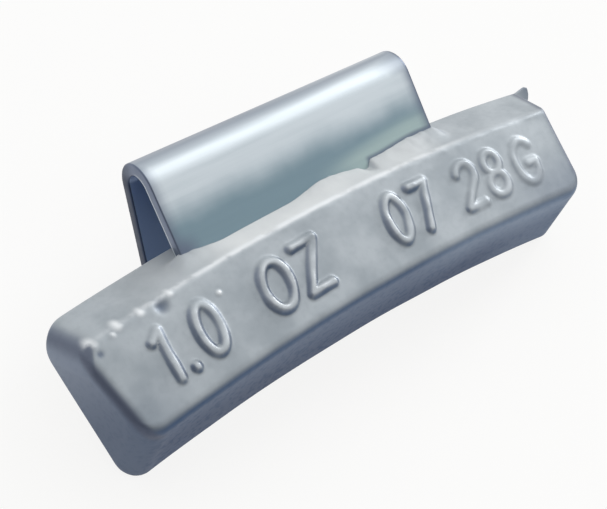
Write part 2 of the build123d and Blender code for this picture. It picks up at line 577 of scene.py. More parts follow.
def swept_bar(casting):
    """Rings of the bar, in its own directions: along it, up its back face and forward of it."""
    half = half_angle(casting)
    middle_radius = casting.rim_radius + casting.back_height / 2
    span = half * middle_radius
    rounded = casting.shoulder_radius
    near = rounded * (1 - np.cos(np.linspace(0, pi / 2, ROUND_STEPS)))
    plain = np.linspace(rounded, 2 * span - rounded, int((2 * span - 2 * rounded) / casting.skin_cell))
    from_left = np.concatenate((near, plain[1:-1], 2 * span - near[::-1]))
    face, toe, back = casting.face_edge_radius, casting.toe_radius, casting.back_edge_radius
    left_radii = (back, casting.shoulder_radius, face, toe)
    right_radii = (back, casting.gate_edge_radius, casting.gate_face_radius, toe)
    insets = np.column_stack([
        inset(from_left, left) + inset(2 * span - from_left, right)
        for left, right in zip(left_radii, right_radii)])
    rings = section_rings(casting, insets)
    left_cap = cap_rings(rings[0], CAP_SHARES)
    right_cap = cap_rings(rings[-1], CAP_SHARES[::-1])
    rings = np.concatenate((left_cap, rings, right_cap))
    cap_angle = np.full(len(CAP_SHARES), half)
    angles = np.concatenate((-cap_angle, (from_left - span) / middle_radius, cap_angle))[:, None]
    depth, height = rings[:, :, 0], rings[:, :, 1]
    radius = casting.rim_radius + height
    drawn = angles / half * depth * np.tan(casting.end_draft)
    along = radius * np.sin(angles) - drawn * np.cos(angles)
    up = radius * np.cos(angles) - casting.rim_radius + drawn * np.sin(angles)
    return np.stack((along, up, depth), axis=2)


def cap_rings(ring, shares):
    """Smaller and smaller copies of an end's ring, which close the end."""
    centre = ring.mean(axis=0)
    return np.array([centre + (ring - centre) * share for share in shares])


def inside_ends(casting, local):
    """How far inside the plane of the nearer end each point lies."""
    across, up, depth = local.T
    half = half_angle(casting)
    side = np.abs(across) * cos(half) - (up + casting.rim_radius) * sin(half)
    return -(side + depth * np.tan(casting.end_draft)) * cos(casting.end_draft)


def fin_mesh(casting, bar):
    """Fin of flash along the mould's parting plane, with rounded edges."""
    half = half_angle(casting)
    out = np.array((sin(half), cos(half)))
    top = out * (casting.rim_radius + casting.back_height) - (0, casting.rim_radius)
    bottom = top - out * casting.fin_height
    outer = [top + (casting.fin_reach + x, y) for x, y in FIN_CORNERS]
    outer.append(top + (casting.fin_reach - FIN_SLANT, -casting.fin_drop))
    outline = np.array([top - FIN_ROOT, *outer, bottom, bottom - (FIN_ROOT[0], 0)])
    centre = outline.mean(axis=0)
    reach = np.linalg.norm(outline - centre, axis=1)[:, None]
    levels = (
        (FIN_BACK, FIN_EDGE),
        (FIN_BACK + FIN_EDGE / 2, 0),
        (casting.fin_thickness - FIN_EDGE, 0),
        (casting.fin_thickness, FIN_EDGE),
    )
    rings = []
    for depth, draw in levels:
        ring = centre + (outline - centre) * (1 - draw / reach)
        rings.append([bar @ Vector((x, y, depth)) for x, y in ring])
    return closed_mesh("flash_fin", rings)


# Clip

# Steps along the strip, round its edges, across its flat and round its holes
FRONT_STEPS = 24
BEND_STEPS = 64
BACK_STEPS = 16
TIP_STEPS = 12
EDGE_STEPS = 5
FLAT_STEPS = 23
HOLE_STEPS = 48
# Slack of the test for a point on the rounded edges, as a share of their radius
EDGE_SLACK = 0.01
# Distances from the strip's side, where its mesh is finer for the wear
RIM_PLACES = (0.4 * MM, 0.8 * MM)
RIM = 1.2 * MM
# Painted shade over the back of the crown, from places across the strip: the angle where it starts, and its
# share at the top of the bend; and in degrees, the angles at which it has its first share, the top share
# twice and its last
CROWN_START = ((2, 8), (28, 38))
CROWN_TOP_SHADE = ((-4, 6), (0.75, 0.4))
CROWN_ANGLES = (60, 85, 110, 130)
CROWN_FIRST = 0.6
CROWN_LAST = 0.75
# Painted shade along the sides: its reach, its share, and the painted dark line along the right side
LEFT_REACH = 1.2 * MM
RIGHT_REACH = (1.5 * MM, 4.5 * MM)
RIGHT_ANGLES = (0, 25)
SIDE_SHARE = 0.55
LINE_REACH = 0.75 * MM
LINE_SHARE = 0.9
# Angles in degrees over which painted shade darkens the sides, and over which the painted highlight on their
# inner edge fades
EDGE_SHADE_ANGLES = (70, 140)
HIGHLIGHT_ANGLES = (10, 70)


def strip_path(clip):
    """Middle of the strip, its outward direction and its turn, from the buried foot to the free tip."""
    radius = bend_radius + clip.thickness / 2
    stops = []
    for run in np.linspace(-clip.front_leg, 0, FRONT_STEPS):
        stops.append((Vector((radius, run)), Vector((1, 0)), 0.0))
    for angle in np.linspace(0, pi - clip.spread, BEND_STEPS)[1:]:
        out = Vector((cos(angle), sin(angle)))
        stops.append((out * radius, out, angle))
    corner, out, angle = stops[-1]
    down = Vector((-out.y, out.x))
    straight = clip.back_leg - clip.tip_radius
    near_tip = straight + clip.tip_radius * np.sin(np.linspace(0, pi / 2, TIP_STEPS))
    for run in np.concatenate((np.linspace(0, straight, BACK_STEPS)[1:-1], near_tip)):
        stops.append((corner + down * run, out, angle))
    return stops


def strip_outline(half_width, half_thickness, edge):
    """Ring round the strip's section, with rounded edges: across it and out of it."""
    corner = np.linspace(0, pi / 2, EDGE_STEPS)
    inner = np.linspace(-(half_width - RIM), half_width - RIM, FLAT_STEPS)
    rim = half_width - np.array((edge, *RIM_PLACES))
    flats = np.concatenate((-rim, inner, rim[::-1]))
    x, y = half_width - edge, half_thickness - edge
    ring = [(f, half_thickness) for f in flats]
    ring += [(x + edge * sin(a), y + edge * cos(a)) for a in corner[1:]]
    ring += [(half_width, edge - y)]
    ring += [(x + edge * cos(a), -y - edge * sin(a)) for a in corner]
    ring += [(f, -half_thickness) for f in flats[::-1][1:]]
    ring += [(-x - edge * sin(a), -y - edge * cos(a)) for a in corner[1:]]
    ring += [(-half_width, edge - y)]
    ring += [(-x - edge * cos(a), y + edge * sin(a)) for a in corner[:-1]]
    return ring


def strip_paint(clip, across, rise, angle, side):
    """Shares at a point of the strip, from 0 to 1: inside the bend, cut edge and painted shade, highlight,
    edge shade.
    """
    half = clip.thickness / 2
    at_edge = abs(across) > side - (1 - EDGE_SLACK) * clip.edge_radius
    # Painted shade over the crown's back, lighter at the top towards the right, along the sides, and a dark
    # line on the right
    worn = trend(across, CROWN_TOP_SHADE)
    start = trend(across, CROWN_START)
    shares = (0, CROWN_FIRST, worn, worn, CROWN_LAST)
    crown_shade = np.interp(angle, np.radians((start, *CROWN_ANGLES)), shares)
    reach = LEFT_REACH if across < 0 else np.interp(angle, np.radians(RIGHT_ANGLES), RIGHT_REACH)
    flank_shade = SIDE_SHARE * bump(side - abs(across), reach)
    shade_line = LINE_SHARE * bump(side - across, LINE_REACH, clip.edge_radius)
    # Painted shade on the edges, growing over the bend, and on the right side's outer rounding
    dull = np.interp(angle, np.radians(EDGE_SHADE_ANGLES), (0, 1))
    if across > 0 and rise > 0:
        dull = max(dull, LINE_SHARE)
    # Painted highlight along the inner edge, fading over the bend
    inner_edge = at_edge and rise < (1 + EDGE_SLACK) * clip.edge_radius - half
    highlight_share = np.interp(angle, np.radians(HIGHLIGHT_ANGLES), (1, 0))
    return (
        float(rise < 0 and not at_edge),
        max(float(at_edge), crown_shade, flank_shade, shade_line),
        float(inner_edge) * highlight_share,
        float(at_edge) * dull,
    )


def strip_mesh(clip, bar):
    """Closed strip with rounded edges along its path, with the holes that the zinc fills."""
    stops = strip_path(clip)
    tip = stops[-1][0]
    place = Matrix.Translation(crown["pos_m"]) @ bar.to_3x3().to_4x4()
    rings, paint = [], []
    for middle, out, angle in stops:
        left = (tip - middle).length
        side = clip_half_width
        if angle > 0 and left < clip.tip_radius:
            side -= clip.tip_radius - np.sqrt(clip.tip_radius ** 2 - (clip.tip_radius - left) ** 2)
        ring = []
        for across, rise in strip_outline(side, clip.thickness / 2, clip.edge_radius):
            depth, height = middle + out * rise
            ring.append(place @ Vector((across, height, depth)))
            paint.append(strip_paint(clip, across, rise, angle, side))
        rings.append(ring)
    mesh = closed_mesh("spring_clip", rings)
    for name, values in zip(("inside", "sheared_and_shade", "inner_edge_highlight", "clip_edge_shade"), np.array(paint).T):
        keep_values(mesh, name, values)
    return combined(mesh, [hole_mesh(clip, place, k) for k in (-1, 0, 1)], "DIFFERENCE")


def hole_mesh(clip, place, number):
    """Round cutter for one of the holes in the buried leg."""
    radius = clip.anchor_diameter / 2
    middle = number * clip.anchor_spacing
    angles = np.linspace(0, 2 * pi, HOLE_STEPS, endpoint=False)
    rings = []
    for depth in (bend_radius - clip.thickness, bend_radius + 2 * clip.thickness):
        rings.append([
            place @ Vector((middle + radius * cos(a), radius * sin(a) - clip.anchor_drop, depth))
            for a in angles])
    return closed_mesh("anchor_hole", rings)


# Materials

# Features of the zinc's patterns and the grain's depth
MOTTLE_SIZE = 4.5 * MM
SPECKLE_SIZE = 0.5 * MM
STREAK_SIZE = 3.0 * MM
PATCH_SIZE = 1.6 * MM
GRAIN_SIZE = 0.3 * MM
GRAIN_DEPTH = 0.02 * MM
# Metallic share of plain zinc and of its painted light, roughness over its speckle, and what the painted
# light adds
ZINC_METALLIC = (0.5, 0.15)
ZINC_ROUGHNESS = (0.46, 0.54)
PAINTED_LIGHT_ROUGHNESS = 0.3
# Bands of the zinc's painted shade, along the bar
LEFT_SHADE = (-17 * MM, -25 * MM)
RIGHT_SHADE = (12.5 * MM, 23 * MM)
UNDER_MIDDLE = (2 * MM, 11 * MM)
UNDER_GATE = (11 * MM, 21 * MM)
UNDER_LEFT = (-22 * MM, -25 * MM)
# Bands of its painted shade up the back face
CORNER_SHADE = (4.0 * MM, 8.0 * MM)
END_SHADE = (3.0 * MM, 12.0 * MM)
UNDER_SHADE = (0.5 * MM, 4.0 * MM)
# Features of the plating's patterns and the rolling lines' depth
ROLLING_SIZE = 0.6 * MM
ROLLING_STRETCH = (0.06, 1, 1)
ROLLING_DEPTH = 0.015 * MM
DRIFT_SIZE = 7 * MM
DRIFT_RISE = 3.0 * MM
PLATE_ROUGHNESS = (0.34, 0.42)
PLATE_METALLIC = (1.0, 0.2)
# Bands in which the plating's tone and its painted shade change: forward, up and along
LEG_FRONT = (0.2 * MM, 1.0 * MM)
LEG_SHADE_FADE = (16.4 * MM, 19.8 * MM)
RUN_UP = (13.8 * MM, 15.3 * MM)
RUN_SIDE = (0 * MM, 6 * MM)
RUN_LIFT = (2 * MM, 13 * MM)
RUN_RISE = 0.8 * MM
BANK_GROWTH = (6.5 * MM, 12.5 * MM)
# Painted shadow in the crevice, and painted shade at the leg's left foot corner
CREVICE_LEVEL = (13.3 * MM, 13.75 * MM)
CREVICE_SIDE = (5.8 * MM, 6.4 * MM)
FOOT_SHADE_LEVEL = (13.4 * MM, 15.2 * MM)
FOOT_SHADE_SIDE = (-11.6 * MM, -13.6 * MM)
# Radius of the rim's circle where the clip leaves the zinc
CLIP_FOOT_RADIUS = 217 * MM
# White that the camera and reflections see in the floor
FLOOR_TINT = (1, 0.995, 0.985, 1)


def new_material(name):
    """Empty node material and its surface shader."""
    material = bpy.data.materials.new(name)
    material.use_nodes = True
    return material, material.node_tree, material.node_tree.nodes["Principled BSDF"]


def node(tree, kind, values=(), **settings):
    """Adds a node, with settings and with values for its inputs by name or number."""
    made = tree.nodes.new("ShaderNode" + kind)
    for name, value in settings.items():
        setattr(made, name, value)
    for name, value in dict(values).items():
        if isinstance(value, bpy.types.NodeSocket):
            tree.links.new(value, made.inputs[name])
        else:
            made.inputs[name].default_value = value
    return made


def cloud(tree, place, size, detail=3.0, roughness=0.5):
    """Cloud pattern with features of the given size."""
    made = node(tree, "TexNoise", {
        "Vector": place, "Scale": 1 / size, "Detail": detail, "Roughness": roughness})
    return made.outputs["Fac"]


def spread(tree, value, low, high, to_low=0.0, to_high=1.0):
    """Maps a range of values to another, smoothly and within its ends."""
    made = node(tree, "MapRange", {
        "Value": value, "From Min": low, "From Max": high, "To Min": to_low, "To Max": to_high},
        interpolation_type="SMOOTHSTEP")
    return made.outputs["Result"]


def blended(tree, share, first, second):
    """Mixes two colours."""
    made = node(tree, "Mix", data_type="RGBA")
    for socket, value in (("Factor_Float", share), ("A_Color", first), ("B_Color", second)):
        target = next(s for s in made.inputs if s.identifier == socket)
        if isinstance(value, bpy.types.NodeSocket):
            tree.links.new(value, target)
        else:
            target.default_value = (*value, 1)
    return next(s for s in made.outputs if s.identifier == "Result_Color")


def reckoned(tree, operation, first, second):
    """Works out one value from two."""
    return node(tree, "Math", {0: first, 1: second}, operation=operation).outputs["Value"]


def product(tree, first, second):
    """Multiplies two values."""
    return reckoned(tree, "MULTIPLY", first, second)


def along_direction(tree, vector, direction):
    """Part of a vector along a direction."""
    made = node(tree, "VectorMath", {0: vector, 1: direction}, operation="DOT_PRODUCT")
    return made.outputs["Value"]


def bar_place(tree, where, bar, number):
    """Place along the bar, up its back face or forward of it, by the number of the direction."""
    direction = bar.col[number].to_3d()
    return reckoned(tree, "SUBTRACT", along_direction(tree, where, direction), bar.translation.dot(direction))


def painted(tree, name):
    """Value that the mesh keeps for each vertex."""
    return node(tree, "Attribute", attribute_name=name).outputs["Fac"]


def grained(tree, surface, pattern, strength, depth):
    """Gives a surface the relief of a pattern."""
    relief = node(tree, "Bump", {"Height": pattern, "Strength": strength, "Distance": depth})
    tree.links.new(relief.outputs["Normal"], surface.inputs["Normal"])


def zinc_material(casting, bar):
    """Matte die-cast zinc, softly mottled, with painted shade on its sides and worn edges with painted
    highlight.
    """
    material, tree, surface = new_material("die_cast_zinc")
    place = node(tree, "TexCoord")
    where = place.outputs["Object"]
    facing = place.outputs["Normal"]
    across = bar_place(tree, where, bar, 0)
    height = bar_place(tree, where, bar, 1)
    mottle = spread(tree, cloud(tree, where, MOTTLE_SIZE, 3, 0.55), 0.3, 0.7)
    speckle = spread(tree, cloud(tree, where, SPECKLE_SIZE, 2), 0.4, 0.75)
    face = blended(tree, mottle, casting.dull_zinc, casting.light_zinc)
    face = blended(tree, product(tree, speckle, 0.12), face, casting.dull_zinc)
    # Front: painted shade, darker towards its lower corners
    left = spread(tree, across, *LEFT_SHADE, 0.0, 0.6)
    outer = reckoned(tree, "MAXIMUM", left, spread(tree, across, *RIGHT_SHADE))
    corner = product(tree, outer, spread(tree, height, *CORNER_SHADE, 0.4, 0.0))
    face = blended(tree, corner, face, casting.deep_shade_zinc)
    # Ends: painted shade, darker than the front and darker towards their foot
    end = node(tree, "Math", {0: along_direction(tree, facing, bar.col[0].to_3d())}, operation="ABSOLUTE")
    ends = blended(tree, spread(tree, height, *END_SHADE), casting.deep_shade_zinc, casting.side_shade_zinc)
    skin = blended(tree, spread(tree, end.outputs["Value"], 0.3, 0.72), face, ends)
    # Underside: painted shade, dark near the back face, lighter near the front and the gate end
    under = product(tree, along_direction(tree, facing, bar.col[1].to_3d()), -1.0)
    lit = product(tree, spread(tree, height, *UNDER_SHADE), spread(tree, across, *UNDER_MIDDLE, 0.5, 1.05))
    lit = reckoned(tree, "ADD", lit, spread(tree, across, *UNDER_GATE, 0.0, 0.45))
    below = blended(tree, lit, casting.under_shade_zinc, casting.under_light)
    below = blended(tree, spread(tree, across, *UNDER_LEFT), below, casting.deep_shade_zinc)
    skin = blended(tree, spread(tree, under, 0.0, 0.55), skin, below)
    # Painted shade on edges, pits and fin, painted light on the bevel, and a worn ridge with painted
    # highlight
    skin = blended(tree, painted(tree, "zinc_edge_shade"), skin, casting.edge_shade_zinc)
    light_painted = painted(tree, "light_painted")
    streaks = spread(tree, cloud(tree, where, STREAK_SIZE, 3), 0.3, 0.7, 0.85, 1.0)
    skin = blended(tree, product(tree, light_painted, streaks), skin, casting.bevel_light_zinc)
    # Painted shade in the pits and on the fin
    skin = blended(tree, painted(tree, "pit_and_fin_shade"), skin, casting.deep_shade_zinc)
    # Worn ridge with painted highlight, also on the pips and the marks' crests
    patches = spread(tree, cloud(tree, where, PATCH_SIZE), 0.28, 0.52)
    skin = blended(tree, product(tree, painted(tree, "rubbed_and_highlit"), patches), skin, casting.rub_highlight_zinc)
    rough = spread(tree, speckle, 0, 1, *ZINC_ROUGHNESS)
    rough = reckoned(tree, "ADD", rough, product(tree, light_painted, PAINTED_LIGHT_ROUGHNESS))
    tree.links.new(skin, surface.inputs["Base Color"])
    tree.links.new(spread(tree, light_painted, 0, 1, *ZINC_METALLIC), surface.inputs["Metallic"])
    tree.links.new(rough, surface.inputs["Roughness"])
    surface.inputs["Specular IOR Level"].default_value = 0.2
    grained(tree, surface, cloud(tree, where, GRAIN_SIZE, 3, 0.55), 0.14, GRAIN_DEPTH)
    return material


def plate_material(clip, casting, bar):
    """Plated spring steel with faint rolling lines, with painted shade near the zinc and inside the bend."""
    material, tree, surface = new_material("plated_spring_steel")
    where = node(tree, "TexCoord").outputs["Object"]
    across, height, depth = [bar_place(tree, where, bar, number) for number in range(3)]
    stretched = node(tree, "Mapping", {"Vector": where, "Scale": ROLLING_STRETCH}).outputs["Vector"]
    lines = cloud(tree, stretched, ROLLING_SIZE, 3)
    front = spread(tree, depth, *LEG_FRONT)
    # Front leg: painted shade, darker and teal towards the zinc, and lighter where the zinc has run up it at
    # the right
    drift = product(tree, cloud(tree, where, DRIFT_SIZE), DRIFT_RISE)
    darkened = spread(tree, reckoned(tree, "ADD", height, drift), *LEG_SHADE_FADE, 1.0, 0.0)
    plate = blended(tree, product(tree, darkened, front), clip.plate, clip.plate_shade_and_lines)
    right = product(tree, front, spread(tree, across, *RUN_SIDE))
    lifted = reckoned(tree, "SUBTRACT", height, spread(tree, across, *RUN_LIFT, 0.0, RUN_RISE))
    run_up = product(tree, right, spread(tree, lifted, *RUN_UP, 1.0, 0.0))
    plate = blended(tree, run_up, plate, clip.plate_base)
    # Painted shadow in the crevice along the bank, and painted shade at the leg's left corner by the zinc
    fall = reckoned(tree, "DIVIDE", product(tree, across, across), 2 * CLIP_FOOT_RADIUS)
    bank = spread(tree, across, *BANK_GROWTH, casting.bank_step, casting.bank_rise)
    level = reckoned(tree, "SUBTRACT", reckoned(tree, "ADD", height, fall), bank)
    crevice = spread(tree, level, *CREVICE_LEVEL, 0.85, 0.0)
    crevice = product(tree, crevice, spread(tree, across, *CREVICE_SIDE))
    foot_shade = spread(tree, height, *FOOT_SHADE_LEVEL, 0.9, 0.0)
    foot_shade = product(tree, foot_shade, spread(tree, across, *FOOT_SHADE_SIDE))
    for dark in (crevice, foot_shade):
        plate = blended(tree, product(tree, dark, front), plate, clip.sheared_and_shade)
    plate = blended(tree, spread(tree, lines, 0.35, 0.75, 0.0, 0.1), plate, clip.plate_shade_and_lines)
    # Shares that the mesh keeps: cut edges with painted shade, painted edge shade, painted highlight, painted
    # shade inside the bend
    for name, colour in (("sheared_and_shade", clip.sheared_and_shade), ("clip_edge_shade", clip.clip_edge_shade)):
        plate = blended(tree, painted(tree, name), plate, colour)
    # Painted highlight on the inner edge
    inner_edge_highlight = painted(tree, "inner_edge_highlight")
    # Painted shade inside the bend
    inside = painted(tree, "inside")
    plate = blended(tree, inner_edge_highlight, plate, clip.plate)
    plate = blended(tree, inside, plate, clip.plate_inside_shade)
    dull = reckoned(tree, "MAXIMUM", inside, inner_edge_highlight)
    tree.links.new(plate, surface.inputs["Base Color"])
    tree.links.new(spread(tree, dull, 0, 1, *PLATE_METALLIC), surface.inputs["Metallic"])
    tree.links.new(spread(tree, lines, 0.3, 0.7, *PLATE_ROUGHNESS), surface.inputs["Roughness"])
    grained(tree, surface, lines, 0.12, ROLLING_DEPTH)
    return material


def floor_material(studio):
    """Matte pale floor, which the camera and reflections see partly as plain white."""
    material, tree, surface = new_material("pale_floor")
    surface.inputs["Base Color"].default_value = (*studio.floor, 1)
    surface.inputs["Roughness"].default_value = 0.9
    surface.inputs["Specular IOR Level"].default_value = 0.1
    rays = node(tree, "LightPath").outputs
    seen = reckoned(tree, "MAXIMUM", rays["Is Camera Ray"], rays["Is Glossy Ray"])
    seen = reckoned(tree, "MAXIMUM", seen, rays["Is Transmission Ray"])
    share = product(tree, seen, studio.floor_white)
    white = node(tree, "Emission", {"Color": FLOOR_TINT, "Strength": 1.0}).outputs["Emission"]
    mixed = node(tree, "MixShader", {0: share, 1: surface.outputs["BSDF"], 2: white})
    tree.links.new(mixed.outputs["Shader"], tree.nodes["Material Output"].inputs["Surface"])
    return material


# Cast skin

# Sizes of its waves, and how much the smallest ones change the collar
SWELL_SIZE = 6.0 * MM
LUMP_SIZE = 1.5 * MM
RIPPLE_SIZE = 0.7 * MM
RIPPLE_SHARE = 0.12
# How far a face turns to the front or to the top to carry marks, flaws or the collar
MARK_FACING = 0.85
FLAW_FACING = 0.3
COLLAR_FACING = 0.6
BEVEL_FACING = (0.6, 0.8)
# Ridge with its worn crest and painted highlight, the painted highlight on the marks' crests, and the rough
# part of the bevel
RIDGE_REACH = 0.6 * MM
CREST_RISE = 0.1 * MM
CREST_BACK = 0.2 * MM
CREST_REACH = 0.55 * MM
CREST_FADE = 1.5
RUB_HIGHLIGHT_LEVEL = ((-22, -14, -8, 0, 8, 17), (0.2, 0.8, 1, 1, 0.7, 0.1))
MARK_CREST_HIGHLIGHT = 0.2
ROUGH_RISE = 0.06 * MM
ROUGH_PLACE = 9 * MM
ROUGH_REACH = (9 * MM, 5 * MM)
# Painted light on the bevel: in front of the clip, beside it, and a painted highlight close to the clip at
# the left
BEVEL_LIGHT_HALF = 9 * MM
BEVEL_LIGHT_FADE = 6 * MM
BEVEL_LIGHT_LEVEL = ((-4, 4), (0.85, 0.55))
BEVEL_LIGHT_BESIDE = ((-22, -16, -12, 12, 20), (0.0, 0.3, 0.18, 0.18, 0.05))
SEAM_GAP = 0.1 * MM
SEAM_WIDTH = 0.5 * MM
SEAM_PLACE = -9.5 * MM
SEAM_REACH = 4.5 * MM
SEAM_LEVEL = 0.95
# Painted shade in dark bands on the rounded edges, the left shoulder and the gate end: reach and crest,
# level, and how the faces there turn
BAND_SHIFT = 0.1 * MM
BAND_REACH = (1.0 * MM, 0.15 * MM)
BAND_DEPTH = (1.9 * MM, 1.0 * MM)
BAND_LEVEL = 0.84
BAND_FACING = (0.76, 0.455)
SHOULDER_LEVEL = 0.6
SHOULDER_FACING = 0.55
SHOULDER_REACH = 0.35
SHOULDER_SIDE = (-0.25, -0.5)
GATE_REACH = (0.9 * MM, 0.25 * MM)
GATE_LEVEL = 0.7
GATE_SIDE = (0.75, 0.25)
GATE_FRONT = (0.0, 0.25)
# Painted shade in the pits and on the fin, which starts outside the gate end
PIT_SHADE = 0.8
FIN_SHADE = 0.5
FIN_GAP = 0.1 * MM
# Zinc against the clip: how it starts on the leg, and how its notch, its bank and its sides run out
COLLAR_EDGE = 0.2 * MM
NOTCH_OFFSET = 0.5 * MM
NOTCH_REACH = 1.0 * MM
BANK_CREST = 1.6 * MM
BANK_RUN = 6.0 * MM
STEP_OFFSET = 0.25 * MM
STEP_REACH = 0.5 * MM
SIDE_OFFSET = 0.3 * MM
SIDE_RUN = 1.8 * MM


# Studio

SKY_FADE = (-0.3, 0.6)
SENSOR_WIDTH = 36
NEAREST_VIEW = 1 * MM


# Operators

class WEIGHT_OT_cast_body(bpy.types.Operator):
    """Casts the zinc body with its raised marks and casting flaws"""

    bl_idname = "weight.cast_body"
    bl_label = "Cast body"

    def execute(self, context):
        casting = context.scene.casting
        bar = bar_matrix(casting)
        rings = swept_bar(casting)
        points = rings.reshape(-1, 3) @ np.array(bar.to_3x3()).T + np.array(bar.translation)
        mesh = closed_mesh("zinc_casting", points.reshape(rings.shape))
        self.shape_skin(mesh, bar, casting, context.scene.clip)
        mesh = combined(mesh, [fin_mesh(casting, bar)], "UNION")
        mesh = combined(mesh, [strip_mesh(context.scene.clip, bar)], "DIFFERENCE")
        self.shade_fin(mesh, bar, casting)
        soft_shading(mesh)
        body = add_piece("zinc_casting", mesh, zinc_material(casting, bar))
        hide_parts("weight_body")
        return {"FINISHED"}

    def shape_skin(self, mesh, bar, casting, clip):
        """Raises the marks, the collar, the lumps and the flaws, and keeps the skin's wear, painted light and
        painted shade.
        """
        points = coordinates(mesh)
        normals = directions(mesh)
        turn = np.array(bar.to_3x3())
        local = to_bar(bar, points)
        facing = normals @ turn
        across, up, depth = local.T
        height = np.hypot(across, up + casting.rim_radius) - casting.rim_radius
        mark_radius = casting.rim_radius + casting.mark_baseline + casting.mark_height / 2
        along = np.arctan2(across, up + casting.rim_radius) * mark_radius
        bevel = ramp(facing[:, 1], *BEVEL_FACING)
        marks = self.marks(casting, np.column_stack((along, height))) * (facing[:, 2] > MARK_FACING)
        ridge = bump(np.hypot(height - casting.ridge_height, depth - casting.ridge_depth), RIDGE_REACH)
        lumps = ripples(points, LUMP_SIZE)
        rise = casting.mark_relief * marks
        rise += casting.swell * ripples(points, SWELL_SIZE)
        rise += casting.ridge_lump * ridge * lumps
        rise += ROUGH_RISE * lumps * bevel * bump(np.abs(across - ROUGH_PLACE), *ROUGH_REACH)
        lift = self.collar(casting, clip, across, depth) * (facing[:, 1] > COLLAR_FACING)
        lift *= 1 + RIPPLE_SHARE * ripples(points, RIPPLE_SIZE)
        crest = np.hypot(height - casting.ridge_height - CREST_RISE, depth - casting.ridge_depth + CREST_BACK)
        rubbed_and_highlit = bump(crest, CREST_REACH) ** CREST_FADE * trend(along, RUB_HIGHLIGHT_LEVEL)
        pit_and_fin_shade = np.zeros(len(points))
        for place, level, reach, size in self.flaws():
            flaw = bump(np.hypot(along - place, height - level), reach) * (facing[:, 2] > FLAW_FACING)
            rise += size * flaw
            # Pits take painted shade, pips a painted highlight
            if size < 0:
                pit_and_fin_shade = np.maximum(pit_and_fin_shade, flaw)
            else:
                rubbed_and_highlit = np.maximum(rubbed_and_highlit, flaw)
        moved = points + normals * rise[:, None] + np.outer(lift, turn[:, 1])
        mesh.vertices.foreach_set("co", moved.ravel())
        mesh.update()
        # Shares for the material: worn crest with painted highlight, painted shade in pits and fin, painted
        # light on the bevel, painted shade on edges
        keep_values(mesh, "rubbed_and_highlit", np.clip(rubbed_and_highlit + MARK_CREST_HIGHLIGHT * marks ** 2, 0, 1))
        keep_values(mesh, "pit_and_fin_shade", PIT_SHADE * pit_and_fin_shade)
        keep_values(mesh, "light_painted", self.light_on_bevel(casting, clip, across, depth) * bevel)
        keep_values(mesh, "zinc_edge_shade", self.zinc_edge_shade(casting, local, height, facing))

    @staticmethod
    def marks(casting, places):
        """Relief of the raised marks, worn unevenly and fainter towards the gate end."""
        words = (
            (casting.ounces, -21.0 * MM),
            ("OZ", -10.6 * MM),
            (casting.cavity, 3.0 * MM),
            (casting.grams, 11.6 * MM),
            ("G", 18.6 * MM),
        )
        starts, ends = mark_strokes(words, casting)
        flat = np.zeros(len(places))
        ragged = RAGGED_RISE * ripples(np.column_stack((places, flat)), RAGGED_SIZE)
        distance = np.maximum(stroke_distance(places, starts, ends) + ragged, 0)
        relief = bump(distance, casting.mark_stroke / 2, casting.mark_crest / 2)
        spots = ripples(np.column_stack((places, flat + 1)), SPOT_SIZE)
        return relief * np.clip(1 + SPOT_SHARE * spots, *SPOT_RANGE) * trend(places[:, 0], MARK_LEVEL)

    @staticmethod
    def light_on_bevel(casting, clip, across, depth):
        """Share of painted light on the bevel in front of the clip and beside it, and of a painted highlight
        close to it at the left.
        """
        light_painted = bump(np.maximum(np.abs(across) - BEVEL_LIGHT_HALF, 0), BEVEL_LIGHT_FADE) * trend(across, BEVEL_LIGHT_LEVEL)
        light_painted += trend(across, BEVEL_LIGHT_BESIDE)
        leg_front = leg_depths(casting, clip)[1]
        seam = SEAM_LEVEL * bump(np.abs(depth - leg_front - SEAM_GAP), SEAM_WIDTH)
        return np.maximum(light_painted, seam * bump(np.abs(across - SEAM_PLACE), SEAM_REACH))

    @staticmethod
    def zinc_edge_shade(casting, local, height, facing):
        """Painted shade: dark bands along the rounded edges of the front, on the left shoulder and round the
        gate end.
        """
        across, depth = local[:, 0], local[:, 2]
        side, top, front = facing.T
        ridge = np.array((casting.ridge_height, -casting.ridge_depth))
        slope = ridge - (casting.foot_height, -casting.foot_depth)
        slope /= np.linalg.norm(slope)
        behind = (casting.ridge_depth - depth) * slope[0] + (casting.ridge_height - height) * slope[1]
        within = inside_ends(casting, local)
        band = bump(np.abs(within - behind + BAND_SHIFT), *BAND_REACH) * bump(behind, *BAND_DEPTH)
        band *= BAND_LEVEL * ramp(top, *BAND_FACING)
        shoulder = SHOULDER_LEVEL * bump(np.abs(top - SHOULDER_FACING), SHOULDER_REACH)
        shoulder *= ramp(side, *SHOULDER_SIDE)
        gate = GATE_LEVEL * bump(within, *GATE_REACH) * (across > 0)
        gate *= ramp(side, *GATE_SIDE) * ramp(front, *GATE_FRONT)
        return np.maximum(np.maximum(band, gate), shoulder)

    @staticmethod
    def shade_fin(mesh, bar, casting):
        """Paints shade on the fin, which stands outside the gate end."""
        local = to_bar(bar, coordinates(mesh))
        pit_and_fin_shade = np.empty(len(local), np.float32)
        mesh.attributes["pit_and_fin_shade"].data.foreach_get("value", pit_and_fin_shade)
        pit_and_fin_shade[inside_ends(casting, local) < -FIN_GAP] = FIN_SHADE
        mesh.attributes["pit_and_fin_shade"].data.foreach_set("value", pit_and_fin_shade)

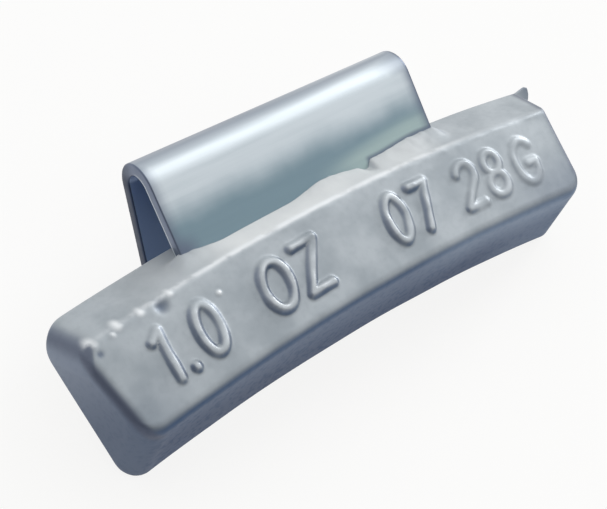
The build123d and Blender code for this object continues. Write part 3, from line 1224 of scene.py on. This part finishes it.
    @staticmethod
    def collar(casting, clip, along, depth):
        """Rise of the zinc against the clip: its left corner, a low hump, a notch and a growing bank."""
        leg_back, leg_front = leg_depths(casting, clip)
        run = np.interp(depth, (leg_back + COLLAR_EDGE, leg_front - COLLAR_EDGE, leg_front), (0, 1, 1))
        run *= bump(np.maximum(depth - leg_front, 0), casting.collar_run)
        hump = casting.hump_rise * bump(np.abs(along - casting.hump_place), casting.hump_reach)
        notch = casting.notch_depth * bump(np.abs(along - casting.bank_start + NOTCH_OFFSET), NOTCH_REACH)
        growth = bump(np.maximum(clip_half_width - BANK_CREST - along, 0), BANK_RUN)
        bank = casting.bank_step + (casting.bank_rise - casting.bank_step) * growth
        bank *= bump(np.maximum(casting.bank_start + STEP_OFFSET - along, 0), STEP_REACH)
        bank *= bump(np.maximum(along - clip_half_width + SIDE_OFFSET, 0), SIDE_RUN)
        corner = casting.corner_rise * bump(np.maximum(along + clip_half_width, 0), casting.corner_reach)
        corner *= bump(np.maximum(-along - clip_half_width, 0), SIDE_RUN)
        return run * (hump - notch + bank + corner)

    @staticmethod
    def flaws():
        """Pits and pips of the casting: along, height, reach and rise."""
        return (
            (-18.1 * MM, 11.6 * MM, 0.9 * MM, -0.28 * MM),
            (-17.0 * MM, 12.1 * MM, 0.5 * MM, 0.09 * MM),
            (-24.2 * MM, 11.1 * MM, 0.45 * MM, -0.06 * MM),
            (-13.6 * MM, 10.15 * MM, 0.35 * MM, 0.12 * MM),
            (-24.3 * MM, 12.05 * MM, 0.7 * MM, 0.08 * MM),
            (-22.6 * MM, 11.75 * MM, 0.4 * MM, 0.06 * MM),
            (-21.9 * MM, 12.15 * MM, 0.65 * MM, 0.1 * MM),
            (-19.8 * MM, 12.05 * MM, 0.55 * MM, 0.07 * MM),
        )


class WEIGHT_OT_bend_clip(bpy.types.Operator):
    """Bends the spring clip over its crown"""

    bl_idname = "weight.bend_clip"
    bl_label = "Bend clip"

    def execute(self, context):
        casting, clip = context.scene.casting, context.scene.clip
        bar = bar_matrix(casting)
        mesh = strip_mesh(clip, bar)
        soft_shading(mesh, angle=50)
        piece = add_piece("spring_clip", mesh, plate_material(clip, casting, bar))
        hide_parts("clip")
        return {"FINISHED"}


class WEIGHT_OT_studio(bpy.types.Operator):
    """Lays the floor and sets the light and the camera"""

    bl_idname = "weight.studio"
    bl_label = "Studio"

    def execute(self, context):
        scene = context.scene
        studio = scene.studio
        scene.view_settings.view_transform = "Standard"
        self.floor(studio)
        self.room(scene, studio)
        self.softbox(scene, "softbox", studio.softbox_direction, studio.softbox_distance,
                     studio.softbox_size, studio.softbox_power)
        self.softbox(scene, "side_softbox", studio.side_direction, studio.side_distance,
                     studio.side_size, studio.side_power)
        self.camera(scene, studio)
        return {"FINISHED"}

    @staticmethod
    def floor(studio):
        """Lays the floor."""
        shape = bmesh.new()
        bmesh.ops.create_grid(shape, x_segments=1, y_segments=1, size=studio.floor_size / 2)
        mesh = bpy.data.meshes.new("floor")
        shape.to_mesh(mesh)
        shape.free()
        mesh.materials.append(floor_material(studio))
        floor = bpy.data.objects.new("floor", mesh)
        bpy.context.scene.collection.objects.link(floor)

    @staticmethod
    def room(scene, studio):
        """Lights the room, brightest in one direction."""
        world = bpy.data.worlds.new("room")
        world.use_nodes = True
        tree = world.node_tree
        light = tree.nodes["Background"]
        light.inputs["Color"].default_value = (*studio.sky, 1)
        where = node(tree, "TexCoord").outputs["Generated"]
        bright = along_direction(tree, where, Vector(studio.sky_direction).normalized())
        level = spread(tree, bright, *SKY_FADE, studio.sky_dark, studio.sky_bright)
        tree.links.new(level, light.inputs["Strength"])
        scene.world = world

    @staticmethod
    def softbox(scene, name, towards, distance, size, power):
        """Hangs a square softbox that points at the weight."""
        lamp = bpy.data.lights.new(name, "AREA")
        lamp.shape = "SQUARE"
        lamp.size = size
        lamp.energy = power
        softbox = bpy.data.objects.new(name, lamp)
        direction = Vector(towards).normalized()
        softbox.location = direction * distance
        softbox.rotation_euler = direction.to_track_quat("Z", "Y").to_euler()
        scene.collection.objects.link(softbox)

    @staticmethod
    def camera(scene, studio):
        """Sets the camera where the photograph was taken from."""
        eye = bpy.data.cameras.new("camera")
        eye.sensor_width = SENSOR_WIDTH
        eye.sensor_fit = "HORIZONTAL"
        eye.lens = studio.lens
        eye.clip_start = NEAREST_VIEW
        eye.clip_end = 2 * studio.floor_size
        camera = bpy.data.objects.new("camera", eye)
        turn = Euler(studio.camera_turn, "ZYX").to_matrix().to_4x4()
        camera.matrix_world = bar_matrix(scene.casting) @ Matrix.Translation(studio.camera_place) @ turn
        scene.collection.objects.link(camera)
        scene.camera = camera


class WEIGHT_PT_sidebar(bpy.types.Panel):
    """Lists the weight's pieces and its studio"""

    bl_idname = "WEIGHT_PT_sidebar"
    bl_label = "Wheel balance weight"
    bl_space_type = "VIEW_3D"
    bl_region_type = "UI"
    bl_category = "Weight"

    def draw(self, context):
        for maker in (WEIGHT_OT_cast_body, WEIGHT_OT_bend_clip, WEIGHT_OT_studio):
            self.layout.operator(maker.bl_idname)


CLASSES = (
    CastingSettings,
    ClipSettings,
    StudioSettings,
    WEIGHT_OT_cast_body,
    WEIGHT_OT_bend_clip,
    WEIGHT_OT_studio,
    WEIGHT_PT_sidebar,
)


def register():
    """Registers the classes and their settings."""
    for made in CLASSES:
        bpy.utils.register_class(made)
    bpy.types.Scene.casting = PointerProperty(type=CastingSettings)
    bpy.types.Scene.clip = PointerProperty(type=ClipSettings)
    bpy.types.Scene.studio = PointerProperty(type=StudioSettings)


def unregister():
    """Takes the settings and the classes away again."""
    del bpy.types.Scene.studio
    del bpy.types.Scene.clip
    del bpy.types.Scene.casting
    for made in reversed(CLASSES):
        bpy.utils.unregister_class(made)


def main():
    """Makes the weight and its studio."""
    register()
    bpy.ops.weight.cast_body()
    bpy.ops.weight.bend_clip()
    bpy.ops.weight.studio()


if __name__ == "__main__":
    main()
